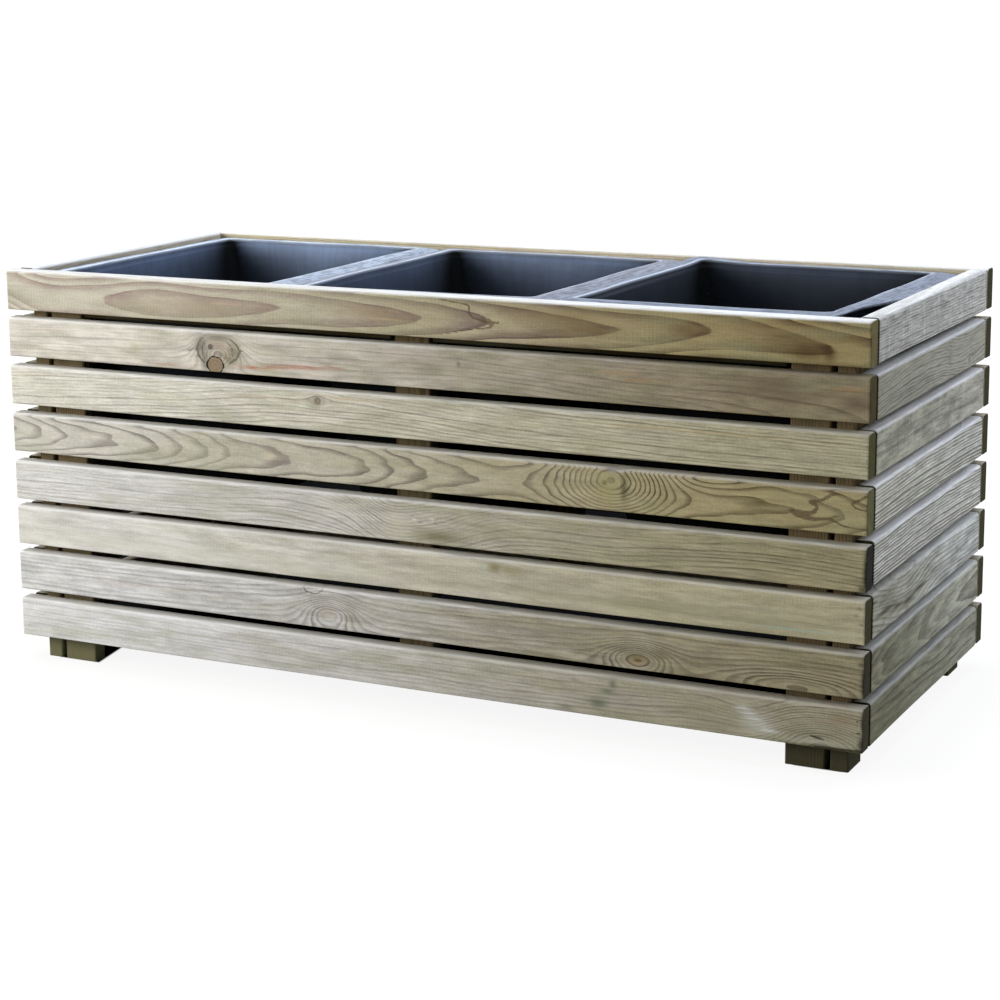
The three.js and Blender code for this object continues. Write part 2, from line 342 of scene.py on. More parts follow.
def formedPlastic(name, seed, dustAndSkylightAmount, rimWearAndSheen, line):
    # Black polypropylene, vacuum-formed: satin, with faint drawn streaks down the walls, a film of dust and
    # painted skylight that fades with depth and leaves painted shade in the corners, a rubbed, scratched rim
    # with a painted sky reflection, and a painted highlight round the mouth.
    material, tree, shader = newMaterial(name)
    skin = vectorMath("MULTIPLY", millimetres(attribute(tree, "skin")), {1: (1, 1, 0)})
    rim, edge, dustAndSkylight = parts(attribute(tree, "wear"))

    def pattern(label, shift, detail, roughness=0.5):
        return noise(skin, (*liner[label + "Size"], 1.0), seed + shift, detail, roughness)

    streak = pattern("streak", 0, 3.0)
    cloud = pattern("cloud", 1, 4.0, 0.6)
    speck = pattern("speck", 2, 2.0)
    scratch = pattern("scratch", 4, 4.0, 0.65)
    grime = pattern("grime", 6, 4.0, 0.65)
    mottled = ease(streak, 0.35, 0.65, 0.95, 1.04) * ease(cloud, 0.35, 0.65, 0.88, 1.1)
    # Dust and painted skylight on the walls, with dust specks
    onWall = calc("MAXIMUM", dustAndSkylight * mottled * dustAndSkylightAmount, ease(speck, 0.64, 0.76, 0.0, 0.16))
    color = blendColor(onWall, liner["color"], liner["wallDustAndSkylight"])
    # The rim: rubbed and scratched, and pale as a painted reflection of the sky
    worn = ease(scratch, 0.38, 0.6, 0.55, 1.12) * ease(grime, 0.36, 0.62, 0.62, 1.1)
    color = blendColor(rim * worn, color, rimWearAndSheen)
    # A painted highlight along the mouth, broken by the scratches
    color = blendColor(edge * line * ease(scratch, 0.3, 0.55, 0.5, 1.0), color, liner["mouthHighlight"])
    gloss = cloud * 0.12 + calc("MAXIMUM", dustAndSkylight, rim) * -0.3 + rim * 0.1 + (liner["roughness"] + 0.24)
    bump = bumped(scratch * 0.5 + streak * 0.2, 0.25, 0.2)
    connect(shader, {"Base Color": color, "Roughness": gloss, "Normal": bump,
                     "IOR": 1.49, "Specular IOR Level": 0.12})
    return material


def platedSteel(name):
    # Zinc-plated steel screws: pale grey, slightly yellow, with fine turning marks round the shank
    material, tree, shader = newMaterial(name)
    marks = noise(millimetres(objectPlace(tree)), (0.6, 6.0, 6.0))
    connect(shader, {"Base Color": blendColor(marks, "#8F918F", "#B9B7A9"), "Metallic": 1.0,
                     "Roughness": ease(marks, 0.3, 0.7, 0.28, 0.42)})
    return material


# Surfaces

def surface(name, rows, start, end, attributes, smoothRows):
    # A closed skin over rows of points, n rows by m columns, whose columns wrap round.
    # The first and last rows are closed by a fan to one point each.
    n, m = rows.shape[:2]
    points = np.concatenate([rows.reshape(-1, 3), [start, end]])
    index = np.arange(n * m).reshape(n, m)
    ahead = np.roll(index, -1, axis=1)
    quads = np.stack([index[:-1], ahead[:-1], ahead[1:], index[1:]], axis=-1).reshape(-1, 4)
    firstFan = np.stack([ahead[0], index[0], np.full(m, n * m)], axis=-1)
    lastFan = np.stack([index[-1], ahead[-1], np.full(m, n * m + 1)], axis=-1)
    a, b, c, d = (points[quads[:, i]] for i in range(4))
    volume = np.einsum("ij,ij->", a, np.cross(b, c)) + np.einsum("ij,ij->", a, np.cross(c, d))
    if volume < 0:
        quads, firstFan, lastFan = quads[:, ::-1], firstFan[:, ::-1], lastFan[:, ::-1]
    corners = np.concatenate([quads.ravel(), firstFan.ravel(), lastFan.ravel()]).astype(np.int32)
    sizes = np.concatenate([np.full(len(quads), 4), np.full(2 * m, 3)])
    mesh = bpy.data.meshes.new(name)
    mesh.vertices.add(len(points))
    mesh.vertices.foreach_set("co", points.astype(np.float32).ravel())
    mesh.loops.add(len(corners))
    mesh.loops.foreach_set("vertex_index", corners)
    mesh.polygons.add(len(sizes))
    mesh.polygons.foreach_set("loop_start", np.concatenate([[0], np.cumsum(sizes)[:-1]]).astype(np.int32))
    mesh.update(calc_edges=True)
    rowSmooth = np.concatenate([np.repeat(smoothRows, m), np.zeros(2 * m, bool)])
    mesh.polygons.foreach_set("use_smooth", rowSmooth)
    kinds = {1: ("FLOAT", "value"), 3: ("FLOAT_VECTOR", "vector"), 4: ("FLOAT_COLOR", "color")}
    for label, values in attributes.items():
        kind, field = kinds[1 if values.ndim == 1 else values.shape[1]]
        layer = mesh.attributes.new(label, kind, "POINT")
        layer.data.foreach_set(field, values.astype(np.float32).ravel())
    mesh.validate()
    piece = bpy.data.objects.new(name, mesh)
    link(piece)
    return piece


def through(stations, place):
    # A smooth curve through (place, value) stations: cubic pieces with the slopes of a finite difference
    xs, ys = np.array(stations, float).T
    slopes = np.gradient(ys, xs)
    k = np.clip(np.searchsorted(xs, place) - 1, 0, len(xs) - 2)
    step = xs[k + 1] - xs[k]
    s = np.clip((place - xs[k]) / step, 0, 1)
    first = (2 * s**3 - 3 * s**2 + 1) * ys[k] + (s**3 - 2 * s**2 + s) * step * slopes[k]
    return first + (3 * s**2 - 2 * s**3) * ys[k + 1] + (s**3 - s**2) * step * slopes[k + 1]


def waves(a, b, seed, sizeA, sizeB, count=7):
    # Slow irregularity: a sum of sines of random direction and phase, sized along a and along b
    rng = np.random.default_rng(seed)
    total = np.zeros(np.broadcast(a, b).shape)
    ranges = ((0, 6.28), (0.5, 1.6), (0, 6.28))
    for angle, rate, phase in zip(*[rng.uniform(first, last, count) for first, last in ranges]):
        total += np.sin(6.28 * rate * (np.cos(angle) * a / sizeA + np.sin(angle) * b / sizeB) + phase)
    return total / np.sqrt(count)


def bell(u, v, place, height, length, width):
    # 1 at (place, height), falling away as e to the minus square of the distance, over length and width
    return np.exp(-((u - place) / length)**2 - ((v - height) / width)**2)


# Boards

board = {
    "edgeRadius": 4.0,
    "lowerRadius": 1.4, # of the face's lower edge
    "endEase": 0.7,
    "alongStep": 2.5,
    "hiddenStep": 6.0, # along the boards of the rear and the left end
    "faceStep": 1.6,
    "warp": 0.35, # how far the planed face strays from flat
    "warpSize": (500, 60), # length and height of the warp's waves
    "roughSize": (220, 26), # and of the long and short waves in the rings
    "rippleSize": (60, 10),
    "soak": 6.0, # how deep stains and dents reach round the edges
    "lineSoak": 3.0, # and torn lines
    "knotColor": "#8A7458",
    "smoothFrom": 2.2, # stains wider than this aren't broken up by the fibres
}
farAway = 9 # distance where there is no knot or line

defaultLook = {
    "early": ("#BDB8A6", "#A59C7E"), "late": ("#8B8370", "#6B614B"), "share": 0.5, "line": 0.2, "contrast": 0.7,
    "uneven": 0.6, "ragged": 0.1, "streaks": 0.45, "cloudy": 0.13, "ribs": 0.4, "sawn": 0.0, "grit": 0.45,
    "green": 0.3, "relief": 0.5, "bleach": (0.8, 0.5), "bleached": "#DDDFDF", "ring": 2.5, "rough": 0.25,
    "ripple": 0.08, "end": "#434426", "lineColor": "#5A4C3A",
    "flow": [], "bumps": [], "whorls": [], "knots": [], "stains": [], "dents": [], "lines": [],
}

# Each board's figure, in millimetres along, and above its middle, as seen from outside.
# early, late: colors of the two kinds of wood at the first and the last end; their change along a board, and
# the lower end boards' darker colors, are partly painted light and shade. bleach: how strong the painted
# highlight on the top is.
# depth: how far the tree's centre lies behind the face; axis: how high it lies; ring: ring width.
# share, line, contrast, uneven: latewood in a ring, its dark edge, its strength, and how that varies.
# rough, ripple: long and short waves in the rings, counted in rings; relief: how far the latewood stands out.
# flow: (place, height, radius, stretch), where the fibres part; bumps: (place, height, length, width, rings)
# knots: (place, height, radius, stretch, core, bark line, halo, color)
# stains: (place, height, length, width, color, amount), broken up by the fibres where they are narrow
# whorls: (place, height, length, width, how much stronger the rings are there)
# dents: (place, height, length, width, depth)
# lines: torn dark lines, each a list of (place, height, half width)
# The look of a row holds what most of its boards share.
frontLook = {"line": 0.1, "contrast": 0.62, "rough": 0.2, "uneven": 0.8, "streaks": 0.4}
frontFigures = {
    1: {"end": "#D4D3B7", "bleach": (0.58, 1), "early": ("#B5B2A5", "#958861"),
        "late": ("#92847E", "#534431"), "share": 0.85, "line": 0.25, "contrast": 1.15, "rough": 0.03,
        "ripple": 0.02, "uneven": 0.25, "ragged": 0.04, "streaks": 0.35, "cloudy": 0.1, "ribs": 0.9,
        "depth": [(-500, 58.1), (-462, 57.8), (-375, 57.5), (-310, 55.6), (-235, 56.2), (-142, 57.5),
            (-60, 58.3), (24, 60), (107, 62.5), (240, 65), (345, 67.5), (467, 70), (500, 70.6)],
        "axis": [(-500, 9), (-462, -4), (-375, -5), (-310, -4), (-235, -5), (-142, -1), (-60, -3), (24, -2),
            (107, -1), (240, -2), (345, 4), (467, -8), (500, -10)],
        "stains": [(437, -11, 20, 8, "#54442C", 0.8), (459, -12, 7, 7, "#45371F", 0.8),
            (-215, 0, 30, 0.8, "#C9A883", 0.6), (-20, -5, 24, 0.7, "#C9A46E", 0.7),
            (252, -13, 30, 1.4, "#B7A97E", 0.5), (345, -13, 34, 1.4, "#B7A97E", 0.5),
            (-262, -5, 92, 11, "#93846F", 0.5), (-30, 0, 50, 9, "#86704F", 0.35),
            (205, -2, 38, 8, "#715E3D", 0.5), (320, 3, 28, 7, "#715E3D", 0.4),
            (400, 9, 50, 6, "#86704F", 0.4), (180, 8, 60, 7, "#7A6747", 0.5),
            (436, 2, 30, 8, "#6E5A3A", 0.45)],
        "lines": [[(47, 18.9, 0.7), (61, 16.6, 0.8), (77, 14.9, 1), (80, 12.6, 1.1), (79, 6.1, 1.5),
            (84, 1.9, 1), (93, -0.6, 1.1), (103, 1.1, 0.9)], [(93, -0.6, 1.2), (100, -2.1, 2),
            (106, -2.9, 2.4), (104, -6.6, 1.6), (99, -7.9, 1.2), (86, -9.4, 1), (72, -12.1, 0.9),
            (61, -14.8, 0.8), (46, -17.5, 0.7)], [(108, -2.4, 0.9), (113, -2.1, 0.9), (113, 0.4, 0.8)]]},
    2: {"end": "#857C46", "bleach": (0.8, 0.1), "early": ("#C6C4BD", "#847962"),
        "late": ("#A2998E", "#4A4436"), "ring": 3, "share": 0.55, "line": 0.2, "contrast": 0.65,
        "cloudy": 0.2, "ribs": 0.5, "lineColor": "#575348",
        "depth": [(-500, 30), (-223, 40), (0, 42), (120, 38), (300, 46), (500, 60)],
        "axis": [(-500, -50), (-223, -36), (0, -30), (200, -40), (350, -34), (500, -20)],
        "flow": [(-226, -15.5, 10, 1.2)], "bumps": [(-222, 3, 28, 21, -8)],
        "whorls": [(-222, 2, 26, 19, 1.6)],
        "knots": [(-232, 5, 3, 1, 0.85, 0.8, 0.5, "#6A6568"),
            (-226.5, -14.5, 9.6, 1.15, 0.85, 1, 0.6, "#9C866C")],
        "stains": [(-243, 2, 9, 13, "#5D5A50", 0.75), (-203, -2, 10, 11, "#6A6348", 0.75),
            (-222, 12, 22, 6, "#716B60", 0.75), (-209, -10, 12, 6, "#746B50", 0.7),
            (-223, 4, 16, 10, "#948474", 0.68), (-240, -12, 5, 8, "#514E40", 0.7),
            (-178, -14, 26, 1.7, "#A0623F", 0.9), (-150, -12, 22, 1.2, "#9C5A42", 0.8),
            (-118, -10, 30, 1.7, "#9C5A42", 0.9), (-80, -7.5, 12, 1, "#8F4A38", 0.8),
            (-290, -18, 30, 1.1, "#9C5A42", 0.6), (-258, -1, 7, 0.7, "#6E3B30", 0.9),
            (478, 9, 18, 1.6, "#9A6A3E", 0.7), (243, 9, 22, 1, "#A98055", 0.7),
            (262, 3, 20, 0.9, "#A98055", 0.6), (-452, 10, 40, 0.9, "#A98B6A", 0.5),
            (410, 4, 32, 10, "#5E4F41", 0.5), (67, 6, 2.5, 2.4, "#4C423A", 0.7),
            (485, -3, 16, 7, "#54463A", 0.5), (20, 4, 50, 10, "#8A8078", 0.3),
            (-330, -3, 7, 5, "#A39F7C", 0.5)],
        "lines": [[(-236, 18, 0.8), (-245, 12, 1.3), (-249, 3, 1.6), (-247, -6, 1.5), (-240, -13, 1.1)],
            [(-230, 15, 0.6), (-239, 10, 0.9), (-243, 2, 1.1), (-241, -6, 0.9)], [(-208, 15, 0.7),
            (-199, 9, 1.2), (-195, 2, 1.7), (-199, -6, 1.6), (-209, -12, 1.2)], [(-214, 12, 0.5),
            (-206, 7, 0.8), (-203, 0, 1), (-207, -6, 0.8)], [(-195, 3, 0.7), (-189, 2, 0.6)],
            [(-249, 1, 0.8), (-263, -1, 0.6)]]},
    3: {"end": "#717142", "bleach": (0.8, 0.38), "early": ("#C6C6BE", "#ABA68C"),
        "late": ("#837C71", "#534E3B"), "ring": 3.2, "share": 0.65, "line": 0.15, "contrast": 0.72,
        "streaks": 0.75, "green": 0.25, "depth": [(-500, 40), (0, 30), (500, 30)],
        "axis": [(-500, -62), (-300, -55), (-100, -44), (-20, -48), (120, -58), (250, -62), (500, -66)],
        "flow": [(-100, 10, 5, 2.2)], "knots": [(-100, 10, 3.6, 0.85, 0.55, 0.8, 0.8, "#A58B7C")],
        "stains": [(-180, 9, 60, 0.8, "#B98F62", 0.6), (330, 11, 110, 0.8, "#B99B66", 0.6),
            (-105, 8, 8, 4, "#7F7C6A", 0.5), (-60, 14, 50, 0.8, "#C09A6C", 0.6),
            (-470, 14, 30, 0.8, "#C2A67C", 0.5), (-485, 8, 7, 6, "#CDCDC2", 0.5)]},
    4: {"end": "#A3AE96", "bleach": (0.8, 0.47), "early": ("#B6B5AD", "#9C916C"),
        "late": ("#75716D", "#4D422B"), "ring": 2.2, "line": 0.12, "contrast": 0.9, "rough": 0.06,
        "ripple": 0.09, "uneven": 0.35, "streaks": 0.3,
        "depth": [(-500, 48.4), (-461, 50.6), (-427, 52.8), (-354, 55), (-305, 57.2), (-272, 59.4),
            (-236, 61.6), (-212, 63.8), (-170, 64.6), (-125, 66), (-37, 68.2), (-10, 70.4), (30, 72.6),
            (89, 74.8), (118, 75.6), (147, 74.8), (175, 73), (229, 71.5), (270, 73), (310, 76.5), (370, 78),
            (420, 79), (470, 81), (500, 82.5)],
        "axis": [(-500, 3), (-425, 1), (-356, 0), (-238, 0), (0, -2), (88, -2), (200, 0), (500, -4)],
        "bumps": [(236, 13, 46, 33, -9), (340, 24, 40, 16, 2.5)], "whorls": [(262, 6, 34, 22, 0.6)],
        "stains": [(232, -1, 11, 12, "#9A9468", 0.7), (250, 2, 4, 13, "#4B4730", 0.75),
            (229, 6, 4, 3, "#5C5B3E", 0.75), (242, 21.5, 12, 1.6, "#17160F", 0.95),
            (-150, -2, 18, 12, "#8A7B72", 0.35), (-160, 0, 9, 5, "#B7AE94", 0.5),
            (-300, -13, 26, 3, "#7C7A6C", 0.3)], "dents": [(243, 24, 9, 5, 3)],
        "lines": [[(474, 17.1, 0.9), (464, 15.6, 1.8), (457, 10.6, 2), (450, 8, 1.5), (443, 6.9, 2.1),
            (445, 4.6, 1.8), (449, 5, 1.4), (450, 1.2, 1.8), (447, -3, 2.2), (439, -4.8, 2.2),
            (431, -4.6, 2.8), (424, -3.8, 2.2)], [(424, -4.2, 2), (430, -6.6, 2.8), (438, -8.8, 2.5),
            (448, -9.8, 2.1), (461, -8.5, 1.4), (467, -6, 1.1), (473, -4.4, 0.9)], [(461, -8.5, 1.4),
            (469, -10.7, 1.1), (476, -13.9, 1), (485, -15, 1), (499, -15.5, 0.9)], [(498, 16.4, 1.8),
            (493, 13, 1.5), (486, 10, 1.8), (484, 8.3, 1), (487, 5.2, 0.9), (493, 3.4, 0.9),
            (499, 3, 0.9)]]},
    5: {"end": "#100F01", "early": ("#C2C3C3", "#989174"), "late": ("#8D8982", "#4C4734"), "ring": 3.4,
        "share": 0.65, "streaks": 0.7, "depth": [(-500, 30), (0, 34), (500, 30)],
        "axis": [(-500, -60), (-250, -56), (-130, -50), (-70, -60), (-15, -86), (35, -80), (110, -58),
            (250, -54), (400, -46), (500, -52)], "whorls": [(-25, 0, 36, 18, 1)],
        "stains": [(499, -4, 2.2, 22, "#1E1F14", 0.95), (496, -19, 4, 4, "#1E1F14", 0.8),
            (42, -13, 24, 6, "#68624A", 0.8), (-8, -1, 15, 11, "#C2BBAD", 0.55),
            (13, 3, 2.5, 1, "#E3DFD4", 0.9), (20, 0, 3, 1, "#4F4A3A", 0.8),
            (34, 5, 2.5, 1.2, "#E3DFD4", 0.8), (38, 1, 2, 1.2, "#4F4A3A", 0.8),
            (11, 6, 2, 0.8, "#4F4A3A", 0.8), (-360, -8, 60, 2, "#A8A698", 0.4),
            (450, 6, 40, 2, "#5D5440", 0.5)],
        "dents": [(13, 4, 3, 1.5, 0.7), (20, 0, 4, 1.5, 0.8), (36, 3, 4, 1.5, 0.8)]},
    6: {"end": "#4B4B22", "bleach": (0.8, 0.45), "early": ("#C5C5C2", "#ADA68B"),
        "late": ("#A7A5A3", "#878069"), "ring": 9, "share": 0.6, "contrast": 0.35, "rough": 0.15,
        "uneven": 0.6, "streaks": 0.6, "cloudy": 0.16, "ribs": 0.6, "green": 0.25,
        "depth": [(-500, 20), (500, 24)], "axis": [(-500, -60), (0, -62), (70, -57), (150, -63), (500, -64)],
        "stains": [(-300, -9, 240, 8, "#BEC0B4", 0.5), (300, -8, 220, 7, "#8B8A70", 0.45),
            (60, -10, 40, 6, "#8E8C78", 0.3), (106, 13, 9, 5, "#716B42", 0.8),
            (124, 12, 20, 4, "#7E7648", 0.6), (93, 10, 4, 5, "#A3A898", 0.6),
            (425, -14, 55, 1, "#8FB0A6", 0.8), (385, 3, 45, 1.2, "#96A090", 0.5),
            (20, 8, 30, 5, "#8D7E70", 0.3), (78, 21.5, 26, 1.5, "#2E2E26", 0.85),
            (494, 14, 2, 1, "#2A281E", 0.9), (491, 7, 2, 1, "#2A281E", 0.8),
            (496, -2, 2, 1.5, "#2A281E", 0.9), (493, -9, 2, 1, "#2A281E", 0.8),
            (496, -15, 2, 1, "#2A281E", 0.8)], "dents": [(70, 24, 16, 3, 1.2)]},
    7: {"end": "#443F0E", "bleach": (0.75, 0.42), "early": ("#C3C5C7", "#928A70"),
        "late": ("#8B8889", "#453F31"), "ring": 4.6, "share": 0.7, "line": 0.05, "uneven": 0.7,
        "cloudy": 0.2, "green": 0.15, "depth": [(-500, 30), (0, 34), (200, 36), (265, 38), (500, 40)],
        "axis": [(-500, -56), (-200, -50), (-95, -42), (0, -44), (265, -36), (500, -30)],
        "bumps": [(-92, -5, 30, 19, -6), (265, -10, 32, 16, -7), (432, -18, 62, 17, -5)],
        "whorls": [(-92, -5, 32, 19, 0.7), (265, -10, 38, 16, 0.8), (432, -10, 60, 16, 0.5)],
        "knots": [(-112, 21.5, 6.5, 1.9, 0, 0.7, 0.4, "#8F8A7A")],
        "stains": [(499, -6, 1.8, 14, "#242318", 0.9), (497, 12, 3, 3, "#242318", 0.7),
            (-95, -4, 9, 6, "#A89E90", 0.55), (-64, -4, 8, 12, "#77705E", 0.4),
            (265, -10, 12, 3.5, "#6F6238", 0.7), (263, -14, 9, 3, "#93703F", 0.5),
            (-300, 2, 60, 0.7, "#B58C7C", 0.5), (-355, -2, 30, 0.8, "#A87B6C", 0.5),
            (205, -13, 16, 1.2, "#5A4B3C", 0.7), (222, -9, 12, 1, "#5A4B3C", 0.7),
            (292, 1, 8, 7, "#6F684E", 0.5), (470, 8, 34, 1.2, "#4E4436", 0.7),
            (440, 3, 30, 1, "#4E4436", 0.6), (160, 3, 30, 8, "#6E6559", 0.35)],
        "dents": [(-112, 19, 14, 2, 1.2)]},
    8: {"end": "#4E4A1A", "bleach": (0.68, 0.3), "early": ("#CACBCF", "#9F9985"),
        "late": ("#9E9F92", "#5A5545"), "ring": 3.8, "share": 0.7, "contrast": 0.55, "uneven": 0.7,
        "streaks": 0.5, "green": 0.35, "lineColor": "#26251D", "depth": [(-500, 24), (0, 26), (500, 30)],
        "axis": [(-500, -54), (0, -60), (250, -58), (400, -48), (500, -44)],
        "bumps": [(457, -17, 46, 26, -7), (385, 12, 36, 28, 3)], "whorls": [(455, -10, 54, 26, 1)],
        "stains": [(498.5, -13, 3, 8, "#242318", 0.9), (499, 7, 1.6, 9, "#242318", 0.8),
            (238, 14, 4, 5, "#616754", 0.8), (232, 6, 9, 3, "#616754", 0.8),
            (222, -8, 12, 6, "#5F6652", 0.85), (205, -12, 10, 2, "#6B6F5C", 0.6),
            (186, -17, 9, 3, "#6B6F5C", 0.7), (194, 14, 6, 2, "#6B6F5C", 0.5),
            (392, -6, 15, 11, "#C6C8C2", 0.5), (378, 8, 9, 2.2, "#D5D9D8", 0.8),
            (384, 3, 11, 2.2, "#D5D9D8", 0.8), (390, -2, 12, 2.2, "#D5D9D8", 0.85),
            (397, -7, 12, 2.2, "#D5D9D8", 0.85), (403, -12, 12, 2.2, "#D5D9D8", 0.8),
            (450, -17, 30, 3, "#A9AD9F", 0.5), (466, -21, 34, 2.6, "#4A4A38", 0.85),
            (478, 8, 16, 6, "#8A7350", 0.4), (-300, -3, 5, 7, "#A2A297", 0.4)],
        "lines": [[(447, -10.5, 0.6), (452, -11.5, 1.5), (457, -12.5, 1.3), (463, -13.5, 0.6)],
            [(493, 10, 0.8), (496, 10, 0.8)], [(492, 4, 0.7), (495, 4, 0.9)], [(494, -2, 0.8),
            (497, -2, 0.8)], [(452, -21, 0.8), (470, -21, 1.6), (484, -20.5, 1.2), (499, -20, 2.2)]]},
}

endLook = {"early": ("#BFBEB7", "#C7C6C0"), "late": ("#7D7972", "#7D7A73"), "green": 0.15, "ring": 3.2,
    "share": 0.95, "contrast": 1, "rough": 0.15, "streaks": 1.3}
endFigures = {
    1: {"bleach": (0.5, 0.5), "ring": 2.8, "share": 0.7, "streaks": 1.6, "ribs": 0, "sawn": 0.8,
        "relief": 1, "depth": [(-200, 20), (200, 24)], "axis": [(-200, -60), (200, -62)]},
    2: {"bleached": "#E8EAEC", "bleach": (0.82, 1), "early": ("#A2A191", "#AFAD9F"),
        "late": ("#696659", "#6B6B60"), "share": 0.8, "line": 0, "contrast": 0.9, "rough": 0.3,
        "ripple": 0.15, "uneven": 0.7, "streaks": 0.7, "depth": [(-200, 20), (200, 24)],
        "axis": [(-200, -60), (0, -52), (120, -62), (200, -58)], "flow": [(130, -13, 3, 2)],
        "stains": [(130, -13, 3, 1.6, "#6B5650", 0.7), (55, 2, 6, 9, "#77786A", 0.4)]},
    3: {"bleached": "#F4F5F7", "bleach": (0.75, 1), "early": ("#ABA997", "#AFADA0"),
        "late": ("#6E6B5D", "#6E6C61"), "ring": 7, "share": 0.7, "line": 0.05, "contrast": 0.6,
        "rough": 0.4, "streaks": 1.2, "cloudy": 0.3, "sawn": 0.5, "depth": [(-200, 40), (200, 44)],
        "axis": [(-200, -30), (200, -22)],
        "stains": [(40, 17, 8, 3, "#5E5F50", 0.6), (-120, 8, 40, 7, "#77786A", 0.4),
            (-30, -5, 20, 3, "#74756A", 0.4)]},
    4: {"bleached": "#F8F9FB", "bleach": (0.95, 1), "early": ("#E5E3D6", "#E6E5DB"),
        "late": ("#949185", "#908F86"), "ring": 3.3, "line": 0, "contrast": 1.75, "ripple": 0.1,
        "ragged": 0.05, "relief": 2.2, "depth": [(-200, 20), (200, 22)],
        "axis": [(-200, -61), (-40, -59), (60, -60), (200, -64)]},
    5: {"bleached": "#F4F5F7", "bleach": (0.95, 0.95), "early": ("#E7E6DD", "#F2F2E8"),
        "late": ("#96948B", "#99968E"), "ring": 3.1, "line": 0, "contrast": 2.1, "ripple": 0.1,
        "ragged": 0.05, "relief": 2.4, "depth": [(-200, 20), (200, 22)],
        "axis": [(-200, -60), (-60, -58), (80, -60), (200, -64)]},
    6: {"bleach": (0.3, 0.85), "early": ("#ADAB9B", "#CDCEC8"), "late": ("#6E6C5E", "#828179"), "ring": 4,
        "share": 0.6, "contrast": 1.1, "rough": 0.3, "streaks": 1.1, "cloudy": 0.3,
        "depth": [(-200, 30), (200, 30)], "axis": [(-200, -40), (-85, -56), (20, -46), (200, -50)],
        "stains": [(-150, -3, 36, 2.8, "#454128", 0.95), (-112, -8, 20, 3, "#454128", 0.95),
            (-75, -11, 20, 3.4, "#454128", 0.95), (-35, -7, 25, 2.8, "#454128", 0.95),
            (20, -4, 40, 2, "#75745F", 0.5), (-80, -18, 7, 3, "#7A5A44", 0.6),
            (-140, 8, 34, 8, "#75775F", 0.4), (145, 2, 8, 8, "#75776C", 0.4)]},
    7: {"bleach": (0.6, 0.8), "early": ("#8B8973", "#BABAA9"), "late": ("#575646", "#767265"), "line": 0,
        "contrast": 1.15, "rough": 0.25, "ragged": 0.12, "streaks": 1, "cloudy": 0.25,
        "depth": [(-200, 78), (-160, 74), (-52, 70.4), (22, 67.2), (90, 65.4), (200, 62)],
        "axis": [(-200, -2), (0, -2), (200, -6)]},
    8: {"bleach": (0.55, 0.5), "early": ("#7D7A64", "#A1A08E"), "late": ("#4E4C3B", "#656254"), "ring": 8,
        "share": 0.6, "rough": 0.4, "cloudy": 0.2, "depth": [(-200, 30), (200, 32)],
        "axis": [(-200, -40), (200, -44)]},
}


def plainFigure(seed, halfLength):
    # A board from somewhere in the tree: straight grain, or arches where its centre lies behind the face
    rng = np.random.default_rng(seed)
    arched = rng.random() < 0.4
    places = np.linspace(-halfLength, halfLength, 5)
    depths = rng.uniform(35, 60) + np.cumsum(rng.uniform(1.0, 6.0, 5)) * (1 if arched else 0.2)
    heights = rng.uniform(-6, 6) if arched else rng.choice([-1, 1]) * rng.uniform(45, 65)
    figure = {"ring": rng.uniform(2.2, 3.4), "share": rng.uniform(0.28, 0.5),
              "contrast": rng.uniform(0.45, 0.8), "depth": list(zip(places, depths)),
              "axis": list(zip(places, heights + rng.uniform(-4, 4, 5)))}
    if rng.random() < 0.6:
        place = rng.uniform(-0.8, 0.8) * halfLength
        height, radius = rng.uniform(-14, 14), rng.uniform(3, 8)
        figure["flow"] = [(place, height, radius * 1.2, 1.8)]
        figure["knots"] = [(place, height, radius, 1.1, 0.8, rng.uniform(0.2, 1), 0.6, "#8F7050")]
    return figure


def boardSection(thickness, width):
    # Outline of a board's section, from the bottom of its face: face, back and two edges as straight runs,
    # and quarter circles between them, the face's lower one smaller. Returns the inward and upward place
    # and the outward normal.
    radius, lower, step = board["edgeRadius"], board["lowerRadius"], board["faceStep"]
    quarter = np.linspace(0, np.pi / 2, 6)[:-1]
    runs = []
    radii = np.array([radius, radius, radius, lower])
    x = np.array([radius, thickness - radius, thickness - radius, lower])
    y = np.array([width / 2 - radius, width / 2 - radius, radius - width / 2, lower - width / 2])
    for k in range(4):
        start = np.pi * (1 - k / 2)
        normal = np.array([np.cos(start), np.sin(start)])
        first = np.array([x[k - 1], y[k - 1]]) + radii[k - 1] * normal
        last = np.array([x[k], y[k]]) + radii[k] * normal
        length = np.linalg.norm(last - first)
        fraction = np.linspace(0, 1, max(2, int(length / (step * (1 if k == 0 else 2)))))[:-1, None]
        runs.append(np.hstack([first + (last - first) * fraction, np.tile(normal, (len(fraction), 1))]))
        turn = np.stack([np.cos(start - quarter), np.sin(start - quarter)], axis=-1)
        runs.append(np.hstack([[x[k], y[k]] + radii[k] * turn, turn]))
    return np.concatenate(runs)


def ringField(u, t, v, figure):
    # Ring count: distance from the tree's centre line, over the ring width, with swells and slow waves.
    # Fibres part round each knot as a stream round a post: the height shrinks by (radius / distance)^2.
    bent = v.copy()
    for place, height, radius, longer in figure["flow"]:
        along, across = (u - place) / longer, v - height
        bent -= across * np.minimum(radius**2 / (along**2 + across**2 + 1e-6), 1)
    count = np.hypot(through(figure["depth"], u) - t, bent - through(figure["axis"], u)) / figure["ring"]
    for *shape, rise in figure["bumps"]:
        count += rise * bell(u, v, *shape)
    seed = figure["seed"]
    count += figure["rough"] * waves(u, bent, seed, *board["roughSize"])
    count += figure["ripple"] * waves(u, bent, seed + 50, *board["rippleSize"])
    return count, bent


